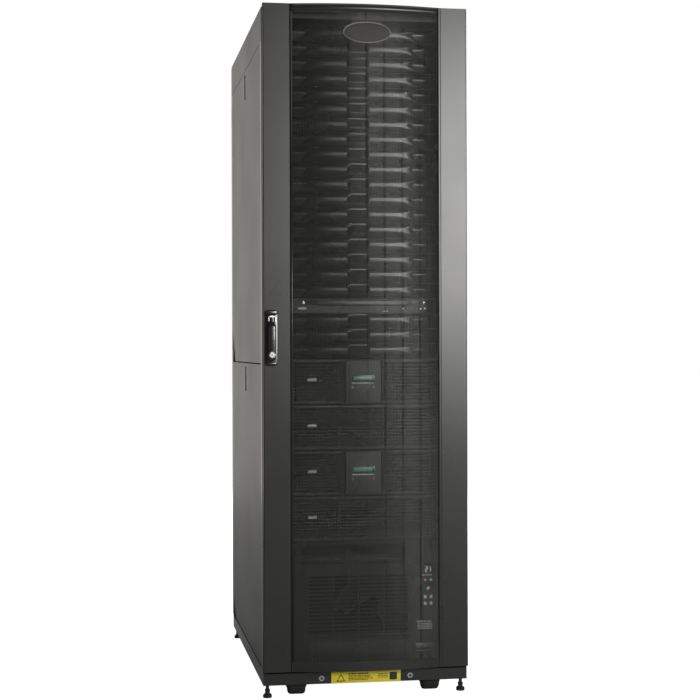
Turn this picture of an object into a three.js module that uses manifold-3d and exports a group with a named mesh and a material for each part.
// A floor-standing 42U rack cabinet with a rackmount UPS system in it: two 3U power modules, two 3U battery
// packs, a pull-out console, an 8U rack cooler and snap-in blanking panels, behind a bowed perforated door.
// Millimetres. +X is to the right, +Y to the rear, +Z up; the origin is on the floor under the cabinet's middle.
import * as THREE from "three";
import { mergeVertices } from "three/addons/utils/BufferGeometryUtils.js";
import Module from "manifold-3d";

const wasm = await Module();
wasm.setup();

// ---------------------------------------------------------------- driving dimensions
const WIDTH = 600; // over the side panels
const HEIGHT = 1994; // floor to the top of the front door
const FRAME_DEPTH = 992; // over the corner posts
const SHEET = 2; // steel sheet of the frame and rails
const GAP = 0.3; // seam between two pieces that touch
const HALF_W = WIDTH / 2;
const HALF_D = FRAME_DEPTH / 2;

const UNIT = 44.45; // one rack unit
const UNITS = 42;
const RACK_Z = 86; // underside of unit 1
const BASE_Z = 38; // underside of the base frame
const BASE_TOP = 75.5;
const FLOOR_PLATE_Z = 68; // underside of the floor plate that carries the casters
const PANEL_SPLIT_Z = 961.5; // seam between the lower and the upper side panels
const ROOF_SKIRT_Z = 1888; // lower edge of the roof's skirt
const ROOF_Z = 1987; // top of the roof

const RAIL_Y = -408; // front face of the front mounting rails
const REAR_RAIL_Y = 332; // rear face of the rear mounting rails
const RAIL_OPENING = 450; // clear width between the rails
const PANEL_WIDTH = 482.6; // a 19-inch front panel
const CHASSIS_WIDTH = 430;

const DOOR_WIDTH = 597;
const DOOR_BOTTOM = 79.5;
const DOOR_STILE_Y = -518; // front face of the door's flat stiles
const DOOR_BACK_Y = -498;
const STILE_WIDTH = 79;
const BOW = 24; // how far the perforated sheet stands in front of the stiles
const HINGE_X = 296; // vertical hinge axes, at the cabinet's corners
const HINGE_Y = 497;
const HINGE_HEIGHTS = [260, 1035, 1810];

const REAR_DOOR_Y = 498; // inner face of the two rear doors
const REAR_DOOR_DEPTH = 26;

const unitZ = (n) => RACK_Z + (n - 1) * UNIT; // lower edge of rack unit n
const RACK_TOP = unitZ(UNITS + 1) + 4; // the frame's front and rear openings end here

// ---------------------------------------------------------------- finishes
const finish = (color, roughness, metalness) => new THREE.MeshStandardMaterial({ color, roughness, metalness });
const blackPaint = finish(0x34363a, 0.5, 0.25);
const sidePaint = finish(0x46474a, 0.45, 0.25);
const blackPlastic = finish(0x1c1d1e, 0.45, 0);
const glossPlastic = finish(0x202224, 0.22, 0);
const steel = finish(0x9a9c9e, 0.35, 0.9);
const rubber = finish(0x161616, 0.85, 0);
const badgePlate = finish(0x6d6a68, 0.35, 0.6);

// ---------------------------------------------------------------- geometry helpers
/** A closed three.js geometry as a solid that can be joined and cut. */
function solid(geometry) {
  const bare = (geometry.index ? geometry.toNonIndexed() : geometry).clone();
  bare.deleteAttribute("normal");
  bare.deleteAttribute("uv");
  const merged = mergeVertices(bare, 1e-3);
  const vertProperties = new Float32Array(merged.attributes.position.array);
  const triVerts = new Uint32Array(merged.index.array);
  return new wasm.Manifold(new wasm.Mesh({ numProp: 3, vertProperties, triVerts }));
}

/** A solid's surface as a three.js geometry. */
function surface(made) {
  const mesh = made.getMesh();
  const geometry = new THREE.BufferGeometry();
  geometry.setAttribute("position", new THREE.BufferAttribute(new Float32Array(mesh.vertProperties), 3));
  geometry.setIndex(new THREE.BufferAttribute(new Uint32Array(mesh.triVerts), 1));
  return geometry;
}

const join = (...pieces) => surface(wasm.Manifold.union(pieces.flat().map(solid)));
const cut = (body, ...tools) => surface(solid(body).subtract(wasm.Manifold.union(tools.flat().map(solid))));
const common = (a, b) => surface(solid(a).intersect(solid(b)));

/** A block between two opposite corners. */
function block(x0, x1, y0, y1, z0, z1) {
  const geometry = new THREE.BoxGeometry(x1 - x0, y1 - y0, z1 - z0);
  return geometry.translate((x0 + x1) / 2, (y0 + y1) / 2, (z0 + z1) / 2);
}

const outline = (points) => new THREE.Shape(points.map(([a, b]) => new THREE.Vector2(a, b)));
const mirrorX = (points) => points.map(([x, y]) => [-x, y]);
const mirrorY = (points) => points.map(([x, y]) => [x, -y]);

const extrude = (shape, depth) =>
  new THREE.ExtrudeGeometry(shape, { depth, bevelEnabled: false, steps: 1, curveSegments: 3 });
/** A plan outline in X and Y, carried up from z0 to z1. */
const upright = (shape, z0, z1) => extrude(shape, z1 - z0).translate(0, 0, z0);
/** A front outline in X and Z, carried back from y0 to y1. */
const backward = (shape, y0, y1) =>
  extrude(shape, y1 - y0).rotateX(Math.PI / 2).translate(0, y1, 0);
/** A side outline in Y and Z, carried across from x0 to x1. */
const across = (shape, x0, x1) =>
  extrude(shape, x1 - x0).rotateY(Math.PI / 2).rotateX(Math.PI / 2).translate(x0, 0, 0);

/** The outline of a bent sheet: a line of points with its thickness laid on the right of the way it runs. */
function bentSheet(points, thickness) {
  const line = points.map(([x, y]) => new THREE.Vector2(x, y));
  const right = (a, b) => {
    const along = b.clone().sub(a).normalize();
    return new THREE.Vector2(along.y, -along.x);
  };
  const inner = line.map((point, i) => {
    const before = i > 0 ? right(line[i - 1], point) : right(point, line[1]);
    const after = i < line.length - 1 ? right(point, line[i + 1]) : before;
    const mitre = before.clone().add(after);
    return mitre.multiplyScalar((2 * thickness) / mitre.lengthSq()).add(point);
  });
  return new THREE.Shape([...line, ...inner.reverse()]);
}

/** A rectangle with round corners, centred on (cx, cz). */
function roundedRect(cx, cz, width, height, radius) {
  const [x, z] = [width / 2 - radius, height / 2 - radius];
  const shape = new THREE.Shape();
  const corners = [[x, z, 0], [-x, z, 1], [-x, -z, 2], [x, -z, 3]];
  for (const [dx, dz, quarter] of corners) {
    const from = (quarter * Math.PI) / 2;
    shape.absarc(cx + dx, cz + dz, radius, from, from + Math.PI / 2, false);
  }
  return shape;
}

/** A turned part: a profile of [radius, height] from the axis and back to it, with its axis upright at (x, y). */
function turned(profile, sides, x = 0, y = 0) {
  const points = profile.map(([r, z]) => new THREE.Vector2(r, z));
  return new THREE.LatheGeometry(points, sides).rotateX(Math.PI / 2).translate(x, y, 0);
}

/** A round bar along Y, from y0 to y1, centred on (x, z). */
const barY = (x, z, radius, y0, y1, sides = 12) =>
  new THREE.CylinderGeometry(radius, radius, y1 - y0, sides).translate(x, (y0 + y1) / 2, z);
/** A round bar along X. */
const barX = (y, z, radius, x0, x1, sides = 12) =>
  new THREE.CylinderGeometry(radius, radius, x1 - x0, sides).rotateZ(Math.PI / 2).translate((x0 + x1) / 2, y, z);
/** A round bar along Z. */
const barZ = (x, y, radius, z0, z1, sides = 12) =>
  new THREE.CylinderGeometry(radius, radius, z1 - z0, sides).rotateX(Math.PI / 2).translate(x, y, (z0 + z1) / 2);

/** A piece drawn on the left, kept there or carried over to the right. */
const mirrored = (geometry, side) => (side < 0 ? geometry : surface(solid(geometry).mirror([1, 0, 0])));

const cabinet = new THREE.Group();
const place = (name, geometry, material) => {
  const mesh = new THREE.Mesh(geometry, material);
  mesh.name = name;
  cabinet.add(mesh);
};
const sideName = (side) => (side < 0 ? "left" : "right");

// ---------------------------------------------------------------- hinges
const KNUCKLE = { radius: 4, length: 22, pin: 2, bore: 2.7, sides: 8 };

/** The two knuckles and the pin that the cabinet's post carries, on the axis (x, y), about height z. */
function postKnuckles(x, y, z, leaf) {
  const { radius, length, pin, sides } = KNUCKLE;
  const gap = length / 2 + GAP;
  const lower = barZ(x, y, radius, z - gap - length, z - gap, sides);
  const upper = barZ(x, y, radius, z + gap, z + gap + length, sides);
  const leaves = [[-gap - length, -gap], [gap, gap + length]].map(([a, b]) =>
    block(Math.min(x, leaf.x), Math.max(x, leaf.x), Math.min(y, leaf.y), Math.max(y, leaf.y), z + a, z + b));
  return [lower, upper, barZ(x, y, pin, z - gap - 1, z + gap + 1, sides), ...leaves];
}

/** Room for a hinge's barrel, cut out of the post and the door beside it. */
const knuckleRoom = (x, y, z, reach = KNUCKLE.radius + 1) => {
  const half = KNUCKLE.length * 1.5 + 2;
  return block(x - reach, x + reach, y - reach, y + reach, z - half, z + half);
};

/** The door's own knuckle, a ring round the pin, with its leaf. */
function doorKnuckle(x, y, z, leaf) {
  const { radius, length, bore, sides } = KNUCKLE;
  const leafBlock = block(
    Math.min(x, leaf.x), Math.max(x, leaf.x), Math.min(y, leaf.y), Math.max(y, leaf.y), z - length / 2, z + length / 2);
  const body = join(barZ(x, y, radius, z - length / 2, z + length / 2, sides), leafBlock);
  return cut(body, barZ(x, y, bore, z - length, z + length, sides));
}

// ---------------------------------------------------------------- base frame, posts and roof
const FOOT = { x: 285, y: 473, stud: 5, pad: 13 };
const CASTER = { x: 198, swivelY: 417, trail: 27, wheelRadius: 29, wheelWidth: 50, clearance: 1 };
const AXLE_Z = CASTER.clearance + CASTER.wheelRadius;

/** A caster's pressed fork: top plate, two cheeks and the axle through them, for a wheel centred on (x, y). */
function casterFork(x, swivelY, wheelY) {
  const cheekX = CASTER.wheelWidth / 2 + 1;
  const plateZ = AXLE_Z + CASTER.wheelRadius + 1.5;
  const near = Math.min(swivelY, wheelY);
  const far = Math.max(swivelY, wheelY);
  const out = wheelY < swivelY ? -1 : 1;
  const cheekShape = outline([
    [wheelY + out * 9, AXLE_Z - 7], [wheelY + out * 15, AXLE_Z + 8], [wheelY + out * 15, plateZ + 3],
    [swivelY - out * 16, plateZ + 3], [swivelY - out * 12, AXLE_Z + 12], [wheelY - out * 9, AXLE_Z - 7],
  ]);
  const cheeks = [-1, 1].map((s) => {
    const inner = x + s * cheekX;
    return across(cheekShape, Math.min(inner, inner + s * 3), Math.max(inner, inner + s * 3));
  });
  const plate = block(x - cheekX - 3, x + cheekX + 3, near - 16, far + 16, plateZ, plateZ + 3);
  const axle = barX(wheelY, AXLE_Z, 4, x - cheekX - 5, x + cheekX + 5, 8);
  const race = barZ(x, swivelY, 15, plateZ + 2, FLOOR_PLATE_Z - GAP, 12);
  return [...cheeks, plate, axle, race];
}

/** The wide wheel with rounded shoulders that runs on the fork's axle. */
function casterWheel(x, y) {
  const { wheelRadius: r, wheelWidth: w } = CASTER;
  const h = w / 2;
  const profile = [[4.6, -h], [r - 6, -h], [r - 1.5, -h + 3], [r, -h + 9], [r, h - 9], [r - 1.5, h - 3],
    [r - 6, h], [4.6, h], [4.6, -h]];
  const points = profile.map(([radius, along]) => new THREE.Vector2(radius, along));
  return new THREE.LatheGeometry(points, 18).rotateZ(Math.PI / 2).translate(x, y, AXLE_Z);
}

const FLOOR_OPENING = { halfWidth: 180, front: 250, rear: 400 };

/** The welded base: a plinth at the front, channels round the other sides and the floor plate between them. */
function baseFrame() {
  const [x, y] = [HALF_W - 1, HALF_D];
  const flange = 14;
  const channel = (lip) => [
    [-y + flange, BASE_Z], [-y, BASE_Z], [-y, BASE_TOP], [-y + lip, BASE_TOP],
  ];
  const ring = [];
  for (const end of [-1, 1]) {
    const points = channel(flange).map(([a, b]) => [end < 0 ? a : -a, b]);
    ring.push(across(bentSheet(end < 0 ? points : points.reverse(), SHEET), -x, x));
  }
  for (const side of [-1, 1]) {
    const points = [[side * (x - flange), BASE_Z], [side * x, BASE_Z], [side * x, BASE_TOP],
      [side * (x - 40), BASE_TOP]];
    ring.push(backward(bentSheet(side < 0 ? points : points.reverse(), SHEET), -y, y));
  }
  const floor = block(-x + 1, x - 1, -y + 1, y - 1, FLOOR_PLATE_Z, FLOOR_PLATE_Z + SHEET);
  const { halfWidth, front, rear } = FLOOR_OPENING;
  const opening = block(-halfWidth, halfWidth, front, rear, FLOOR_PLATE_Z - 1, FLOOR_PLATE_Z + SHEET + 1);
  const footNuts = [-1, 1].flatMap((sx) => [-1, 1].map((sy) =>
    block(sx * FOOT.x - 12, sx * FOOT.x + 12, sy * FOOT.y - 12, sy * FOOT.y + 12, BASE_Z, BASE_Z + 12)));
  const inserts = [-130, 130].map((at) => barY(at, 54, 6.5, -y - 1.2, -y + 1, 12));
  const rearForks = [-1, 1].flatMap((side) => {
    const fork = casterFork(side * CASTER.x, CASTER.swivelY, CASTER.swivelY);
    return [...fork, block(side * CASTER.x - 30, side * CASTER.x + 30, CASTER.swivelY - 20, CASTER.swivelY + 20,
      FLOOR_PLATE_Z - 4, FLOOR_PLATE_Z + 1)];
  });
  const body = join(ring, cut(floor, opening), footNuts, inserts, rearForks);
  const footBores = [-1, 1].flatMap((sx) => [-1, 1].map((sy) =>
    barZ(sx * FOOT.x, sy * FOOT.y, FOOT.stud + 0.7, BASE_Z - 1, BASE_Z + 60, 10)));
  const boltHoles = [-130, 130].map((at) => barY(at, 54, 3.4, -y - 3, -y + 6, 8));
  const groundHole = barY(-150, 54, 2.5, -y - 3, -y + 6, 8);
  return cut(body, footBores, boltHoles, groundHole);
}

const PANEL_Y = HALF_D - 34.5; // the side panels reach this far each way

/** The section of the front left corner post, a bent sheet with a ledge that the side panel closes against. */
const POST_SECTION = [
  [-HALF_W + 42, -HALF_D + 18], [-HALF_W + 42, -HALF_D], [-HALF_W, -HALF_D], [-HALF_W, -PANEL_Y - 1.5],
  [-HALF_W + 13, -PANEL_Y - 1.5], [-HALF_W + 13, -PANEL_Y + 20],
];

/** A hinged corner is bevelled, so that the door's edge can turn past it. */
const HINGE_BEVEL = 8;

function cornerPost(side, end) {
  const hinged = end > 0 || side > 0;
  const corner = [[-HALF_W + HINGE_BEVEL, -HALF_D], [-HALF_W, -HALF_D + HINGE_BEVEL]];
  let points = POST_SECTION;
  if (hinged) points = [...points.slice(0, 1), [-HALF_W + 42, -HALF_D], ...corner, ...points.slice(3)];
  if (side > 0) points = mirrorX(points).reverse();
  if (end > 0) points = mirrorY(points).reverse();
  const post = upright(bentSheet(points, SHEET), BASE_TOP + GAP, ROOF_SKIRT_Z - GAP);
  if (!hinged) return post;
  const [x, y] = [side * HINGE_X, end * HINGE_Y];
  const leaf = { x: side * (HINGE_X - 12), y: end * (HALF_D - 5) };
  const room = HINGE_HEIGHTS.map((z) => knuckleRoom(x, y, z));
  return join(cut(post, room), HINGE_HEIGHTS.flatMap((z) => postKnuckles(x, y, z, leaf)));
}

const CABLE_PORTS = [-130, 130];
const CABLE_PORT = { width: 180, front: 270, rear: 350 };

/** The roof: a deep pan whose skirt is the cabinet's top rail, with two cable ports and stiffening beads. */
function roofPanel() {
  const wall = (inset, z0, z1) => {
    const [x, y] = [HALF_W - inset, HALF_D - inset];
    const bevel = HINGE_BEVEL - inset * 0.6;
    return upright(outline([[-x, -y], [x - bevel, -y], [x, -y + bevel], [x, y - bevel], [x - bevel, y],
      [-x + bevel, y], [-x, y - bevel]]), z0, z1);
  };
  const pan = cut(wall(0, ROOF_SKIRT_Z, ROOF_Z), wall(SHEET, ROOF_SKIRT_Z - 1, ROOF_Z - SHEET));
  const mouth = HALF_W - 60;
  const frontFrame = block(-mouth, mouth, -HALF_D - 1, -HALF_D + SHEET + 1, ROOF_SKIRT_Z - 1, RACK_TOP);
  const beads = [-160, 0, 160].map((at) => block(at - 20, at + 20, -400, 220, ROOF_Z - 1, ROOF_Z + 1.5));
  const { width, front, rear } = CABLE_PORT;
  const ports = CABLE_PORTS.map((x) => block(x - width / 2, x + width / 2, front, rear, ROOF_Z - 5, ROOF_Z + 5));
  const rearFrame = block(-mouth, mouth, HALF_D - SHEET - 1, HALF_D + 1, ROOF_SKIRT_Z - 1, RACK_TOP);
  return cut(join(pan, beads), ports, frontFrame, rearFrame);
}

// ---------------------------------------------------------------- side panels and their latches
const LATCH = { width: 30, height: 78, depth: 9, below: 11, slot: 16 };

/** One side panel: a shallow pan, its lowest strip leaning inwards, with a window for the latch near its top. */
function sidePanel(side, bottom, top, creaseAbove) {
  const [lean, wall, depth] = [5, 1.5, 11];
  const section = (inset, past) => outline([
    [-HALF_W + inset, top - inset], [-HALF_W + inset, bottom + creaseAbove],
    [-HALF_W + lean + inset, bottom + inset],
    [-HALF_W + depth + past, bottom + inset], [-HALF_W + depth + past, top - inset],
  ]);
  const pan = cut(backward(section(0, 0), -PANEL_Y, PANEL_Y),
    backward(section(wall, 1), -PANEL_Y + wall, PANEL_Y - wall));
  const latchTop = top - LATCH.below;
  const window = block(-HALF_W - 1, -HALF_W + 20, -LATCH.width / 2, LATCH.width / 2, latchTop - LATCH.height, latchTop);
  const [y, z0, deep] = [LATCH.width / 2, latchTop - LATCH.height, -HALF_W + LATCH.depth];
  const dish = block(-HALF_W + 0.5, deep, -y - wall, y + wall, z0 - wall, latchTop + wall);
  const hollow = block(-HALF_W - 1, deep - wall, -y, y, z0, latchTop);
  const body = join(cut(pan, window), cut(dish, hollow));
  return mirrored(body, side);
}

/** The sprung slider in a panel's latch dish: a finger pad with a ridge, and the keyed boss below it. */
function sideLatch(side, top) {
  const latchTop = top - LATCH.below;
  const y = LATCH.width / 2 - 1;
  const pad = block(-HALF_W + 3.2, -HALF_W + LATCH.depth - 1.8, -y, y, latchTop - 36, latchTop - 2);
  const grip = [10, 17, 24].map((down) =>
    block(-HALF_W + 1.2, -HALF_W + 3.5, -y + 3, y - 3, latchTop - down - 2, latchTop - down));
  const stem = block(-HALF_W + 4.2, -HALF_W + LATCH.depth - 1.8, -5, 5, latchTop - 60, latchTop - 30);
  const boss = barX(0, latchTop - 56, 8, -HALF_W + 1.6, -HALF_W + LATCH.depth - 1.8, 16);
  return mirrored(join(pad, grip, stem, boss), side);
}

// ---------------------------------------------------------------- mounting rails
/** A mounting rail, a bent sheet: the flange that the equipment's ears bolt to, its leg and a lip along the leg. */
function mountingRail(side, faceY, legY) {
  const [inner, outer] = [RAIL_OPENING / 2 + GAP, RAIL_OPENING / 2 + 26];
  const points = [[inner, faceY], [outer, faceY], [outer, legY], [outer + 12, legY]];
  const section = bentSheet(legY > faceY ? points.reverse() : points, SHEET);
  const rail = upright(section, BASE_TOP + GAP, unitZ(UNITS + 1) + 8);
  return side > 0 ? rail : surface(solid(rail).mirror([1, 0, 0]));
}

// ---------------------------------------------------------------- levelling feet
/** A screw foot: stud, hexagon for the spanner and a round pad. */
function levellingFoot(x, y) {
  const { stud, pad } = FOOT;
  const body = turned([[0, 0], [pad - 1, 0], [pad, 1.2], [pad, 8], [pad - 2.5, 11], [7.5, 12.5], [stud + 1, 21],
    [stud, 22], [stud, 60], [0, 60]], 12, x, y);
  const hexagon = barZ(x, y, 8, 17, 24, 6);
  return join(body, hexagon);
}

// ---------------------------------------------------------------- front door
const DOOR_X = DOOR_WIDTH / 2;
const MESH_X = DOOR_X - STILE_WIDTH;
const BOW_RADIUS = (MESH_X * MESH_X + BOW * BOW) / (2 * BOW);
const BOW_CENTRE_Y = DOOR_STILE_Y - BOW + BOW_RADIUS;
const GUIDE_HEIGHTS = [160, 900, 1250, 1900]; // the latch rods' guides in the left stile
const HANDLE = { x: -275, top: 1117, bottom: 957, width: 36, pivotZ: 1089, pinDepth: 17, protrusion: 28 };

/** Points on the door's bow, set back by an offset, from left to right. */
function bowPoints(offset, reach = MESH_X, steps = 20) {
  const radius = BOW_RADIUS - offset;
  return Array.from({ length: steps + 1 }, (_, i) => {
    const x = -reach + (2 * reach * i) / steps;
    return [x, BOW_CENTRE_Y - Math.sqrt(radius * radius - x * x)];
  });
}

/** The sheet that carries the perforation, bowed between the two stiles. */
function doorMesh() {
  const reach = MESH_X - GAP;
  const shape = outline([...bowPoints(0, reach), ...bowPoints(1.5, reach).reverse()]);
  return upright(shape, DOOR_BOTTOM, HEIGHT);
}

/** The door's frame: two open-backed stiles, and a curved cross member at the top and the bottom. */
function doorFrame() {
  const stile = [
    [-MESH_X, DOOR_BACK_Y], [-MESH_X, DOOR_STILE_Y + 2], [-MESH_X - 2, DOOR_STILE_Y],
    [-DOOR_X + 2.5, DOOR_STILE_Y], [-DOOR_X, DOOR_STILE_Y + 2.5], [-DOOR_X, DOOR_BACK_Y - 3],
    [-DOOR_X + 3, DOOR_BACK_Y], [-DOOR_X + 14, DOOR_BACK_Y],
  ];
  const left = upright(bentSheet(stile, 1.5), DOOR_BOTTOM, HEIGHT);
  const right = upright(bentSheet(mirrorX(stile).reverse(), 1.5), DOOR_BOTTOM, HEIGHT);
  const lens = outline([...bowPoints(1.8, MESH_X - 0.5), [MESH_X + 1, DOOR_BACK_Y], [-MESH_X - 1, DOOR_BACK_Y]]);
  const caps = [[DOOR_BOTTOM, DOOR_BOTTOM + 22], [HEIGHT - 18, HEIGHT]].map(([z0, z1]) =>
    cut(upright(lens, z0, z1), block(-MESH_X + 6, MESH_X - 6, DOOR_BACK_Y - 40, DOOR_BACK_Y - 1.6,
      z0 < 1000 ? z0 + 1.6 : z0 - 1, z0 < 1000 ? z1 + 1 : z1 - 1.6)));
  const stileEnds = [-1, 1].flatMap((side) => [DOOR_BOTTOM, HEIGHT - 1.5].map((z) => {
    const [x0, x1] = [side * (MESH_X + 0.5), side * (DOOR_X - 0.8)].sort((a, b) => a - b);
    return block(x0, x1, DOOR_STILE_Y + 0.8, DOOR_BACK_Y, z, z + 1.5);
  }));
  const frame = join(left, right, caps, stileEnds);
  const room = HINGE_HEIGHTS.map((z) => knuckleRoom(HINGE_X, -HINGE_Y, z));
  const leaf = { x: HINGE_X - 13, y: DOOR_BACK_Y - 3 };
  const spindleHole = barY(HANDLE.x, HANDLE.pivotZ, 8.5, DOOR_STILE_Y - 5, DOOR_STILE_Y + 5);
  const knuckles = HINGE_HEIGHTS.map((z) => doorKnuckle(HINGE_X, -HINGE_Y, z, leaf));
  return join(cut(frame, room, spindleHole), knuckles, GUIDE_HEIGHTS.map(rodGuide));
}

// ---------------------------------------------------------------- swing handle and three-point latch
const CRANK = 14; // radius of the crank pins, which move the rods
const CRANK_PIN = 2.5;
const KEYLOCK_Z = 988;
const crankOffset = CRANK * Math.SQRT1_2; // pins stand at 45 degrees at rest

/** The handle's base plate on the stile, with a raised head round the pivot. */
function handleHousing() {
  const { x, top, bottom, width, pivotZ } = HANDLE;
  const middle = (top + bottom) / 2;
  const plate = backward(roundedRect(x, middle, width, top - bottom, 9), DOOR_STILE_Y - 7, DOOR_STILE_Y - GAP);
  const head = backward(roundedRect(x, top - 8.5, width - 4, 13, 5), DOOR_STILE_Y - 18, DOOR_STILE_Y - 6);
  const foot = backward(roundedRect(x, bottom + 6, width - 8, 9, 4), DOOR_STILE_Y - 12, DOOR_STILE_Y - 6);
  return cut(join(plate, head, foot), barY(x, pivotZ, 7.6, DOOR_STILE_Y - 9, DOOR_STILE_Y + 2, 12));
}

/** The spindle through the door, with the fork that holds the lever and, inside, the crank with its two pins. */
function handleSpindle() {
  const { x, pivotZ } = HANDLE;
  const shaft = barY(x, pivotZ, 7, DOOR_STILE_Y - 8, DOOR_STILE_Y + 8, 12);
  const hub = barY(x, pivotZ, 11.5, DOOR_STILE_Y - 10, DOOR_STILE_Y - 7.5, 16);
  const ears = [-1, 1].map((s) => {
    const [a, b] = [x + s * 8.2, x + s * 11].sort((p, q) => p - q);
    return block(a, b, DOOR_STILE_Y - 22, DOOR_STILE_Y - 7.6, pivotZ - 5.5, pivotZ + 5.5);
  });
  const crossPin = barX(DOOR_STILE_Y - HANDLE.pinDepth, pivotZ, 2.2, x - 9, x + 9, 8);
  const crank = backward(roundedRect(x, pivotZ, 2 * CRANK + 10, 14, 6), DOOR_STILE_Y + 5, DOOR_STILE_Y + 8);
  const turnedCrank = crank.translate(-x, 0, -pivotZ).rotateY(-Math.PI / 4).translate(x, 0, pivotZ);
  const pins = [1, -1].map((s) =>
    barY(x + s * crankOffset, pivotZ + s * crankOffset, CRANK_PIN, DOOR_STILE_Y + 7, DOOR_STILE_Y + 13, 8));
  return join(shaft, hub, ears, crossPin, turnedCrank, pins);
}

/** The lever: a tapered bar with rounded edges that hangs from the cross pin, and the boss round its lock. */
function handleLever() {
  const { x, pivotZ, protrusion } = HANDLE;
  const front = DOOR_STILE_Y - protrusion;
  const back = DOOR_STILE_Y - 10.4;
  const tip = HANDLE.bottom + 13;
  const knuckle = 6.5;
  const pinY = DOOR_STILE_Y - HANDLE.pinDepth;
  const side = new THREE.Shape();
  side.moveTo(pinY + knuckle, pivotZ);
  side.absarc(pinY, pivotZ, knuckle, 0, Math.PI, false);
  side.lineTo(front + 1, pivotZ - 16).quadraticCurveTo(front - 1, (pivotZ + tip) / 2, front + 4, tip);
  side.lineTo(back, tip).lineTo(back, pivotZ - 10);
  const bar = across(side, x - 11, x + 11);
  const face = new THREE.Shape();
  face.moveTo(x - 7.8, pivotZ + 8).lineTo(x - 7.8, pivotZ - 8).lineTo(x - 11, pivotZ - 16);
  face.absarc(x, tip + 11, 11, Math.PI, 2 * Math.PI, false);
  face.lineTo(x + 11, pivotZ - 16).lineTo(x + 7.8, pivotZ - 8).lineTo(x + 7.8, pivotZ + 8);
  const lever = common(bar, backward(face, front - 1, back + 1));
  const pinBore = barX(pinY, pivotZ, 2.8, x - 20, x + 20, 8);
  const lockBore = barY(x, KEYLOCK_Z, 6.5, front - 3, back - 3, 16);
  return cut(lever, pinBore, lockBore);
}

/** The lock's plug, which the key turns, with its key slot. */
function keylock() {
  const { x, protrusion } = HANDLE;
  const front = DOOR_STILE_Y - protrusion;
  const plug = barY(x, KEYLOCK_Z, 6, front + 0.2, front + 14, 16);
  return cut(plug, block(x - 0.8, x + 0.8, front - 1, front + 5, KEYLOCK_Z - 3.5, KEYLOCK_Z + 3.5));
}

/** A flat latch rod in the stile: a slotted head over one crank pin, and a tapered tip at the end of the door. */
function latchRod(way, tipZ) {
  const { x, pivotZ } = HANDLE;
  const [y0, y1] = [DOOR_STILE_Y + 9, DOOR_STILE_Y + 12];
  const pinZ = pivotZ + way * crankOffset;
  const at = (dx, dz) => [x + way * dx, pinZ + way * dz];
  const reach = way * (tipZ - pinZ);
  const rod = backward(outline([
    at(3, -8), at(CRANK + 7, -8), at(CRANK + 7, 8), at(12, 30), at(7, 40), at(7, reach - 14), at(3, reach),
    at(-3, reach), at(-7, reach - 14), at(-7, 40), at(3, 30),
  ]), y0, y1);
  const [s0, s1] = [x + way * (crankOffset - 4), x + way * (CRANK + 4)].sort((a, b) => a - b);
  return cut(rod, block(s0, s1, y0 - 1, y1 + 1, pinZ - CRANK_PIN - 0.6, pinZ + CRANK_PIN + 0.6));
}

/** A guide inside the stile that a latch rod slides through. */
function rodGuide(z) {
  const { x } = HANDLE;
  const [y0, y1] = [DOOR_STILE_Y + 1, DOOR_STILE_Y + 15];
  return cut(block(x - 11, x + 11, y0, y1, z - 8, z + 8),
    block(x - 7.6, x + 7.6, DOOR_STILE_Y + 8.4, DOOR_STILE_Y + 12.6, z - 9, z + 9));
}

/** The oval plate on the door's sheet, with its raised rim. */
function doorBadge() {
  const [rx, rz, z] = [70, 31, 1917];
  const oval = (inset) => {
    const shape = new THREE.Shape();
    shape.absellipse(0, z, rx - inset, rz - inset, 0, 2 * Math.PI, false);
    return shape;
  };
  const deep = (shape, back, front) => {
    const [y0, y1] = [DOOR_STILE_Y - BOW - front, DOOR_STILE_Y - BOW + back];
    return new THREE.ExtrudeGeometry(shape, { depth: y1 - y0, bevelEnabled: false, curveSegments: 10 })
      .rotateX(Math.PI / 2).translate(0, y1, 0);
  };
  const plate = deep(oval(0), 2.6, 3.4);
  const dish = deep(oval(2.5), -2.4, 6);
  const behind = upright(outline([...bowPoints(-GAP, 90, 6), [90, -400], [-90, -400]]), z - 50, z + 50);
  return cut(plate, dish, behind);
}

// ---------------------------------------------------------------- rear doors
const REAR_STILE = 42;
const REAR_FIELDS = [[115, 1015], [1050, 1950]]; // heights of the perforated fields
const REAR_HANDLE = { x: 24, z: 1030 };

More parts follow.
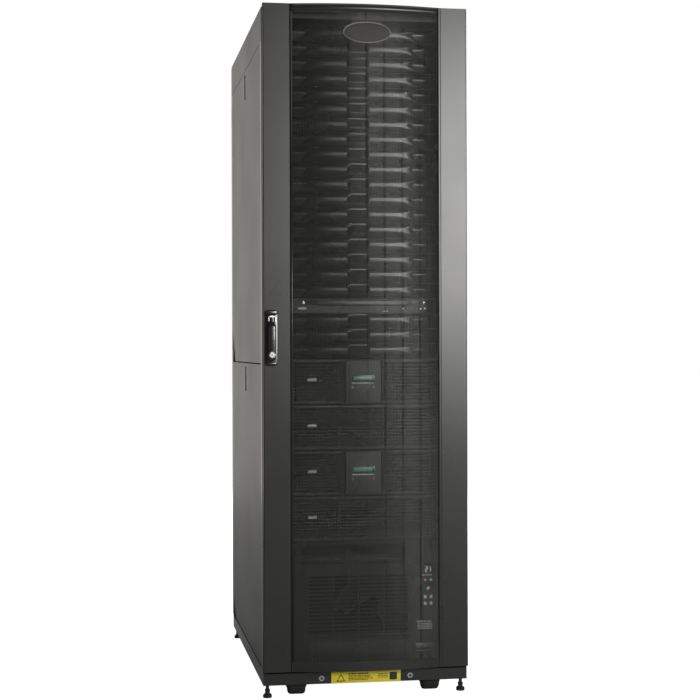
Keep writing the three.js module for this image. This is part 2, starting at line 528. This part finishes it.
/** One of the two rear doors: a pressed pan whose perforated field is set back between raised borders. */
function rearDoor(side) {
  const [inner, outer] = [1.5, DOOR_X];
  const [bottom, top] = [DOOR_BOTTOM, ROOF_Z - 2];
  const [back, depth] = [REAR_DOOR_Y, REAR_DOOR_DEPTH];
  const pan = cut(block(inner, outer, back, back + depth, bottom, top),
    block(inner + 1.5, outer - 1.5, back - 1, back + depth - 1.5, bottom + 1.5, top - 1.5));
  const fields = REAR_FIELDS.flatMap(([z0, z1]) => {
    const [x0, x1] = [inner + REAR_STILE, outer - REAR_STILE];
    const recess = block(x0, x1, back + depth - 4, back + depth + 1, z0, z1);
    const tray = block(x0 - 1.5, x1 + 1.5, back + depth - 5.5, back + depth - 0.5, z0 - 1.5, z1 + 1.5);
    return [[tray, recess]];
  });
  const pressed = cut(join(pan, fields.map(([tray]) => tray)), fields.map(([, recess]) => recess));
  const room = HINGE_HEIGHTS.map((z) => knuckleRoom(HINGE_X, HINGE_Y, z));
  const leaf = { x: HINGE_X - 13, y: REAR_DOOR_Y + 3 };
  const knuckles = HINGE_HEIGHTS.map((z) => doorKnuckle(HINGE_X, HINGE_Y, z, leaf));
  const stay = HINGE_HEIGHTS.map((z) => block(HINGE_X - 14, HINGE_X - 5, back, back + depth - 0.5, z - 30, z + 30));
  const door = join(cut(join(pressed, stay), room), knuckles);
  if (side < 0) return surface(solid(door).mirror([1, 0, 0]));
  const handlePlate = backward(roundedRect(REAR_HANDLE.x, REAR_HANDLE.z, 30, 120, 8),
    back + depth - 1, back + depth + 4);
  const bore = barY(REAR_HANDLE.x, REAR_HANDLE.z + 35, 6.6, back + 10, back + depth + 8);
  return cut(join(door, handlePlate), bore);
}

/** The rear door's turn handle, on its short spindle. */
function rearHandle() {
  const { x, z } = REAR_HANDLE;
  const y = REAR_DOOR_Y + REAR_DOOR_DEPTH;
  const shaft = barY(x, z + 35, 6, y - 12, y + 12);
  const bar = backward(roundedRect(x, z, 18, 92, 8), y + 8, y + 22);
  const cam = block(x - 17, x + 6, y - 14, y - 11, z + 29, z + 41);
  const knuckleCut = block(x - 20, x + 20, y + 3, y + 14, z - 60, z + 22);
  return join(cut(bar, knuckleCut), shaft, cam);
}

// ---------------------------------------------------------------- power modules and battery packs
const MODULE_UNITS = 3;
const BEZEL_FRONT = -458;
const EAR_FRONT = RAIL_Y - 2.6;
const DISPLAY = { width: 104, height: 127 };
const BUTTON_X = 31;

/** A sheet-steel chassis, open where its bezel closes it, with rail ears, round vents and what it holds. */
function chassis(unit, units, depth, vents, contents) {
  const [z0, z1] = [unitZ(unit) + 0.8, unitZ(unit + units) - 0.8];
  const x = CHASSIS_WIDTH / 2;
  const rear = RAIL_Y + depth;
  const shell = cut(block(-x, x, EAR_FRONT, rear, z0, z1),
    block(-x + 1.5, x - 1.5, EAR_FRONT - 1, rear - 1.5, z0 + 1.5, z1 - 1.5));
  const ears = [-1, 1].map((s) => {
    const [a, b] = [s * (x - 1), s * (PANEL_WIDTH / 2)].sort((p, q) => p - q);
    return block(a, b, EAR_FRONT, EAR_FRONT + 2.2, z0, z1);
  });
  const middle = (z0 + z1) / 2;
  const holes = vents.map((at) => barY(at, middle, Math.min(38, (z1 - z0) / 2 - 12), rear - 4, rear + 2, 20));
  const held = contents.map(([x0, x1, y0, y1, height]) => block(x0, x1, y0, y1, z0 + 0.5, z0 + height));
  return cut(join(shell, ears, held), holes);
}

// what the cases hold, as plain masses on the floor: x from, x to, y from, y to, height
const POWER_CONTENTS = [[-190, -60, 40, 180, 105], [-180, 120, -330, -200, 50]];
const BATTERY_CONTENTS = [[-205, -8, -380, 160, 32], [8, 205, -380, 160, 32]];

/** The moulded front of a module: a hollow cover with rounded ends and two fields of louvres. */
function moduleBezel(unit, hasDisplay) {
  const [z0, z1] = [unitZ(unit) + 1.2, unitZ(unit + MODULE_UNITS) - 1.2];
  const middle = (z0 + z1) / 2;
  const [x, front, back, wall] = [PANEL_WIDTH / 2 - 0.8, BEZEL_FRONT, EAR_FRONT - GAP, 3];
  const plan = (inset) => outline([
    [-x + inset, back + (inset ? 1 : 0)], [-x + inset, front + 14], [-x + 4 + inset * 0.4, front + 5],
    [-x + 14, front + inset], [x - 14, front + inset], [x - 4 - inset * 0.4, front + 5],
    [x - inset, front + 14], [x - inset, back + (inset ? 1 : 0)],
  ]);
  const shell = cut(upright(plan(0), z0, z1), upright(plan(wall), z0 + wall, z1 - wall));
  const louvres = [];
  const [rows, pitch] = [11, 10];
  const fields = hasDisplay ? [[-206, -70], [70, 206]] : [[-206, -70], [-58, 58], [70, 206]];
  for (const [from, to] of fields) {
    for (let row = 0; row < rows; row++) {
      const z = middle + (row - (rows - 1) / 2) * pitch;
      louvres.push(block(from, to, front - 1, front + wall + 1, z - 2.4, z + 2.4));
    }
  }
  const badge = block(-172, -136, front - 1, front + wall + 4, middle - 10, middle + 10);
  const badgePad = block(-172, -136, front, front + wall, middle - 10, middle + 10);
  const open = cut(shell, louvres);
  const bezel = join(open, common(badge, badgePad));
  if (!hasDisplay) return bezel;
  const pocket = block(-DISPLAY.width / 2 - GAP, DISPLAY.width / 2 + GAP, front - 1, front + 12,
    middle - DISPLAY.height / 2 - 0.2, middle + DISPLAY.height / 2 + 0.2);
  const backing = block(-DISPLAY.width / 2 - 4, DISPLAY.width / 2 + 4, front + 9, front + 12, z0 + 1, z1 - 1);
  return join(cut(bezel, pocket), backing);
}

/** The display panel: a raised plate with the screen's window, two button wells and two lamp holes. */
function displayPanel(unit) {
  const middle = unitZ(unit) + (MODULE_UNITS * UNIT) / 2;
  const [front, back] = [BEZEL_FRONT - 2, BEZEL_FRONT + 8.7];
  const plate = backward(roundedRect(0, middle, DISPLAY.width, DISPLAY.height - 0.4, 3), front, back);
  const window = block(-31, 31, front - 1, front + 2.2, middle + 3, middle + 17);
  const wells = [-BUTTON_X, BUTTON_X].map((x) => barY(x, middle - 16, 3.6, front - 1, front + 6, 10));
  const lamps = [-BUTTON_X / 3, BUTTON_X / 3].map((x) => barY(x, middle - 16, 1.6, front - 1, front + 1.5, 6));
  const screws = [-1, 1].map((s) => barY(0, middle + s * 57, 2.4, front - 1, front + 2, 6));
  return cut(plate, window, wells, lamps, screws);
}

/** A round push button in a well of the display panel. */
function pushButton(unit, x) {
  const middle = unitZ(unit) + (MODULE_UNITS * UNIT) / 2;
  const front = BEZEL_FRONT - 2;
  return barY(x, middle - 16, 2.9, front - 1.2, front + 3.8, 10);
}

// ---------------------------------------------------------------- pull-out console
const CONSOLE_UNIT = 24;

/** The console's fixed case: ears, sides, top and floor round the drawer. */
function consoleHousing() {
  const [z0, z1] = [unitZ(CONSOLE_UNIT) + 0.4, unitZ(CONSOLE_UNIT + 1) - 0.4];
  const x = CHASSIS_WIDTH / 2 + 4;
  const rear = RAIL_Y + 600;
  const shell = cut(block(-x, x, EAR_FRONT, rear, z0, z1),
    block(-x + 1.5, x - 1.5, EAR_FRONT - 1, rear - 1.5, z0 + 1.2, z1 - 1.2));
  const ears = [-1, 1].map((s) => {
    const [a, b] = [s * (x - 1), s * (PANEL_WIDTH / 2)].sort((p, q) => p - q);
    return block(a, b, EAR_FRONT, EAR_FRONT + 2.2, z0, z1);
  });
  return join(shell, ears);
}

/** The drawer with its keyboard tray and folded screen; its front has a finger bar and two latch wells. */
function consoleDrawer() {
  const [z0, z1] = [unitZ(CONSOLE_UNIT) + 2.2, unitZ(CONSOLE_UNIT + 1) - 2.2];
  const x = CHASSIS_WIDTH / 2 + 1.6;
  const front = RAIL_Y - 16;
  const tray = cut(block(-x, x, EAR_FRONT, RAIL_Y + 560, z0, z1),
    block(-x + 2, x - 2, EAR_FRONT + 12, RAIL_Y + 556, z0 + 9, z1 + 1));
  const screenLid = block(-x + 6, x - 6, EAR_FRONT + 14, RAIL_Y + 380, z0 + 22, z1 - 1);
  const screenHinge = barX(RAIL_Y + 384, z0 + 24, 6, -x + 1, x - 1, 12);
  const hingeWeb = block(-x + 40, x - 40, RAIL_Y + 376, RAIL_Y + 388, z0 + 5, z0 + 24);
  const plan = [[-x - 8, EAR_FRONT - GAP], [-x - 8, front + 4], [-x - 4, front], [x + 4, front],
    [x + 8, front + 4], [x + 8, EAR_FRONT - GAP]];
  const fascia = upright(outline(plan), z0, z1);
  const neck = block(-x + 4, x - 4, EAR_FRONT - 2, EAR_FRONT + 2, z0 + 3, z1 - 3);
  const fingerBar = across(outline([[front + 1, z0 + 23], [front - 5, z0 + 25], [front - 7, z1 - 6],
    [front - 5, z1 - 2], [front + 1, z1 - 1]]), -160, 110);
  const latchWell = block(-188, -164, front - 1, front + 5, z0 + 22, z1 - 2);
  const rightWell = block(134, 158, front - 1, front + 5, z0 + 22, z1 - 2);
  const knobs = [-172, 150].map((at) => barY(at, z0 + 30, 4.5, front - 3, front + 6, 12));
  const body = cut(join(fascia, fingerBar), latchWell, rightWell);
  return join(body, neck, tray, screenLid, screenHinge, hingeWeb, knobs);
}

// ---------------------------------------------------------------- rack cooler
const COOLER_UNITS = 8;
const COOLER_FRONT = -433;
const GRILLE = { x0: -170, x1: 150, z0: 165, z1: 372 };
const OUTLET = { x0: -182, x1: 128, z0: 376, z1: 430, depth: 60 };

/** The cooler's case; its moulded front has the air outlet, the filter's recess, a cover and the key panel. */
function coolerHousing() {
  const [z0, z1] = [unitZ(1) + 0.8, unitZ(1 + COOLER_UNITS) - 0.8];
  const x = CHASSIS_WIDTH / 2;
  const rear = RAIL_Y + 690;
  const box = cut(block(-x, x, EAR_FRONT, rear, z0, z1),
    block(-x + 1.5, x - 1.5, EAR_FRONT - 1, rear - 1.5, z0 + 1.5, z1 - 1.5));
  const fascia = block(-PANEL_WIDTH / 2, PANEL_WIDTH / 2, COOLER_FRONT, EAR_FRONT + 2.2, z0, z1);
  const edge = [-1, 1].map((s) => upright(outline([
    [s * (PANEL_WIDTH / 2 - 7), COOLER_FRONT - 1], [s * (PANEL_WIDTH / 2 + 1), COOLER_FRONT - 1],
    [s * (PANEL_WIDTH / 2 + 1), COOLER_FRONT + 7]]), z0 - 1, z1 + 1));
  const { x0, x1, z0: g0, z1: g1 } = GRILLE;
  const filterRecess = block(x0 - GAP, x1 + GAP, COOLER_FRONT - 1, COOLER_FRONT + 15, g0 - GAP, g1 + GAP);
  const intake = block(x0 + 10, x1 - 10, COOLER_FRONT, EAR_FRONT + 10, g0 + 6, g1 - 30);
  const outletMouth = block(OUTLET.x0, OUTLET.x1, COOLER_FRONT - 1, EAR_FRONT + 10, OUTLET.z0, OUTLET.z1);
  const groove = (a, b, c, d) => block(a, b, COOLER_FRONT - 1, COOLER_FRONT + 1, c, d);
  const cover = [groove(-150, 146, 139, 141), groove(-150, -148, z0 - 1, 141), groove(144, 146, z0 - 1, 141)];
  const keys = [[200, 296], [190, 270], [210, 270], [190, 251], [210, 251]].map(([kx, kz]) =>
    barY(kx, kz, 4.5, COOLER_FRONT - 1, COOLER_FRONT + 0.8, 8));
  const readout = block(186, 214, COOLER_FRONT - 1, COOLER_FRONT + 1.5, 340, 362);
  const front = cut(fascia, edge, filterRecess, intake, outletMouth, cover, keys, readout);
  const duct = cut(
    block(OUTLET.x0 - 2, OUTLET.x1 + 2, EAR_FRONT, EAR_FRONT + OUTLET.depth, OUTLET.z0 - 2, OUTLET.z1 + 2),
    block(OUTLET.x0, OUTLET.x1, EAR_FRONT - 1, EAR_FRONT + OUTLET.depth - 2, OUTLET.z0, OUTLET.z1));
  const vane = across(outline([
    [COOLER_FRONT + 8, 402], [COOLER_FRONT + 9.5, 400], [COOLER_FRONT + 38, 424], [COOLER_FRONT + 36, 426]]),
    OUTLET.x0 - 1, OUTLET.x1 + 1);
  const fans = [-90, 90].map((at) => barY(at, (z0 + z1) / 2, 72, rear - 4, rear + 2, 16));
  const compressor = barZ(-95, 120, 75, z0 + 1, z0 + 185, 16);
  const coil = block(-200, 200, 215, 232, z0 + 1, z0 + 240);
  return join(cut(join(box, front, duct), fans), vane, compressor, coil);
}

/** The lift-off filter grille: four columns of sloping louvre slots in a flanged frame. */
function coolerGrille() {
  const { x0, x1, z0, z1 } = GRILLE;
  const [front, back] = [COOLER_FRONT - 1.5, COOLER_FRONT + 14];
  const border = roundedRect((x0 + x1) / 2, (z0 + z1) / 2, x1 - x0 - 1.4, z1 - z0 - 1.4, 3);
  const frame = cut(backward(border, front, back), block(x0 + 8, x1 - 8, front + 4, back + 1, z0 + 8, z1 - 8));
  const [columns, rows, pitch, mullion] = [4, 15, 11.3, 5];
  const [left, right, low] = [x0 + 12, x1 - 12, z0 + 9];
  const columnWidth = (right - left - (columns - 1) * mullion) / columns;
  const slots = [];
  for (let column = 0; column < columns; column++) {
    const x = left + column * (columnWidth + mullion);
    for (let row = 0; row < rows; row++) {
      const z = low + row * pitch;
      const slot = outline([[front - 1, z], [front + 5, z + 2.5], [front + 5, z + 9], [front - 1, z + 6.5]]);
      slots.push(across(slot, x, x + columnWidth));
    }
  }
  const thumb = block((x0 + x1) / 2 - 14, (x0 + x1) / 2 + 14, front - 1, front + 2, z1 - 10, z1 - 5);
  return cut(frame, slots, thumb);
}

// ---------------------------------------------------------------- blanking panels
const BLANK = { half: 156, taper: 14, bulge: 11, thickness: 2.4 };

/** One panel's crowned middle: an arc in section, blended to the flat ears over a short taper at each end. */
function crown(unit) {
  const { half, taper, bulge } = BLANK;
  const [z0, z1] = [unitZ(unit) + 1.2, unitZ(unit + 1) - 1.2];
  const back = RAIL_Y - GAP - 1;
  const base = RAIL_Y - GAP - BLANK.thickness;
  const [arcSteps, stations] = [5, [[-half - taper, 0], [-half, 1], [half, 1], [half + taper, 0]]];
  const ring = ([x, rise]) => {
    const arc = Array.from({ length: arcSteps + 1 }, (_, i) => {
      const t = i / arcSteps;
      return [x, base + 0.4 - 0.8 * rise - rise * bulge * Math.sin(Math.PI * t) ** 0.8, z0 + (z1 - z0) * t];
    });
    return [[x, back, z0], ...arc, [x, back, z1]];
  };
  const rings = stations.map(ring);
  const n = rings[0].length;
  const index = [];
  for (let s = 0; s < rings.length - 1; s++) {
    for (let i = 0; i < n; i++) {
      const [a, b] = [s * n + i, s * n + ((i + 1) % n)];
      index.push(a, a + n, b, b, a + n, b + n);
    }
  }
  for (let i = 1; i < n - 1; i++) {
    index.push(0, i, i + 1);
    const last = (rings.length - 1) * n;
    index.push(last, last + i + 1, last + i);
  }
  const geometry = new THREE.BufferGeometry();
  geometry.setAttribute("position", new THREE.Float32BufferAttribute(rings.flat().flat(), 3));
  geometry.setIndex(index);
  return geometry;
}

/** A run of snap-in blanking panels, one to each rack unit, side by side. */
function blankingRun(first, last) {
  const x = PANEL_WIDTH / 2;
  const [y0, y1] = [RAIL_Y - GAP - BLANK.thickness, RAIL_Y - GAP];
  const sheet = block(-x, x, y0, y1, unitZ(first) + 0.4, unitZ(last + 1) - 0.4);
  const parts = [sheet];
  const grooves = [];
  for (let unit = first; unit <= last; unit++) {
    parts.push(crown(unit));
    if (unit > first) grooves.push(block(-x - 1, x + 1, y0 - 20, y0 + 1.2, unitZ(unit) - 0.4, unitZ(unit) + 0.4));
  }
  const run = join(parts);
  return grooves.length ? cut(run, grooves) : run;
}

// ---------------------------------------------------------------- the assembly
place("base_frame", baseFrame(), blackPaint);
for (const side of [-1, 1]) {
  place(`post_front_${sideName(side)}`, cornerPost(side, -1), blackPaint);
  place(`post_rear_${sideName(side)}`, cornerPost(side, 1), blackPaint);
}
place("roof_panel", roofPanel(), sidePaint);

for (const side of [-1, 1]) {
  const name = sideName(side);
  place(`side_panel_lower_${name}`, sidePanel(side, 78, PANEL_SPLIT_Z - 1.5, 66), sidePaint);
  place(`side_panel_upper_${name}`, sidePanel(side, PANEL_SPLIT_Z + 1.5, ROOF_SKIRT_Z - 2, 105), sidePaint);
  place(`side_latch_lower_${name}`, sideLatch(side, PANEL_SPLIT_Z - 1.5), blackPlastic);
  place(`side_latch_upper_${name}`, sideLatch(side, ROOF_SKIRT_Z - 2), blackPlastic);
  place(`mount_rail_front_${name}`, mountingRail(side, RAIL_Y, RAIL_Y + 50), blackPaint);
  place(`mount_rail_rear_${name}`, mountingRail(side, REAR_RAIL_Y, REAR_RAIL_Y - 50), blackPaint);
}

for (const [end, way] of [["front", -1], ["rear", 1]]) {
  for (const side of [-1, 1]) {
    const name = `${end}_${sideName(side)}`;
    place(`leveling_foot_${name}`, levellingFoot(side * FOOT.x, way * FOOT.y), rubber);
    const wheelY = way < 0 ? -CASTER.swivelY - CASTER.trail : CASTER.swivelY;
    place(`caster_wheel_${name}`, casterWheel(side * CASTER.x, wheelY), rubber);
    if (way < 0) {
      place(`caster_fork_${name}`, join(casterFork(side * CASTER.x, -CASTER.swivelY, wheelY)), blackPaint);
    }
  }
}

place("front_door_frame", doorFrame(), blackPaint);
place("front_door_mesh", doorMesh(), blackPaint);
place("front_door_badge", doorBadge(), badgePlate);
place("handle_housing", handleHousing(), glossPlastic);
place("handle_spindle", handleSpindle(), steel);
place("handle_lever", handleLever(), glossPlastic);
place("handle_keylock", keylock(), steel);
place("latch_rod_upper", latchRod(1, HEIGHT - 24), steel);
place("latch_rod_lower", latchRod(-1, DOOR_BOTTOM + 8), steel);

for (const side of [-1, 1]) place(`rear_door_${sideName(side)}`, rearDoor(side), blackPaint);
place("rear_handle", rearHandle(), glossPlastic);

for (const [name, moduleUnit] of [["a", 18], ["b", 12]]) {
  const packUnit = moduleUnit - MODULE_UNITS;
  place(`ups_${name}_chassis`, chassis(moduleUnit, MODULE_UNITS, 640, [-120, 0], POWER_CONTENTS), blackPaint);
  place(`ups_${name}_bezel`, moduleBezel(moduleUnit, true), blackPlastic);
  place(`ups_${name}_display`, displayPanel(moduleUnit), blackPlastic);
  place(`ups_${name}_button_left`, pushButton(moduleUnit, -BUTTON_X), steel);
  place(`ups_${name}_button_right`, pushButton(moduleUnit, BUTTON_X), steel);
  place(`battery_${name}_chassis`, chassis(packUnit, MODULE_UNITS, 600, [120], BATTERY_CONTENTS), blackPaint);
  place(`battery_${name}_bezel`, moduleBezel(packUnit, false), blackPlastic);
}

place("console_housing", consoleHousing(), blackPaint);
place("console_drawer", consoleDrawer(), blackPlastic);
place("cooler_housing", coolerHousing(), blackPlastic);
place("cooler_grille", coolerGrille(), blackPlastic);
place("blanking_panels_upper", blankingRun(CONSOLE_UNIT + 1, UNITS), glossPlastic);
place("blanking_panels_lower", blankingRun(CONSOLE_UNIT - 3, CONSOLE_UNIT - 1), glossPlastic);

export default cabinet;
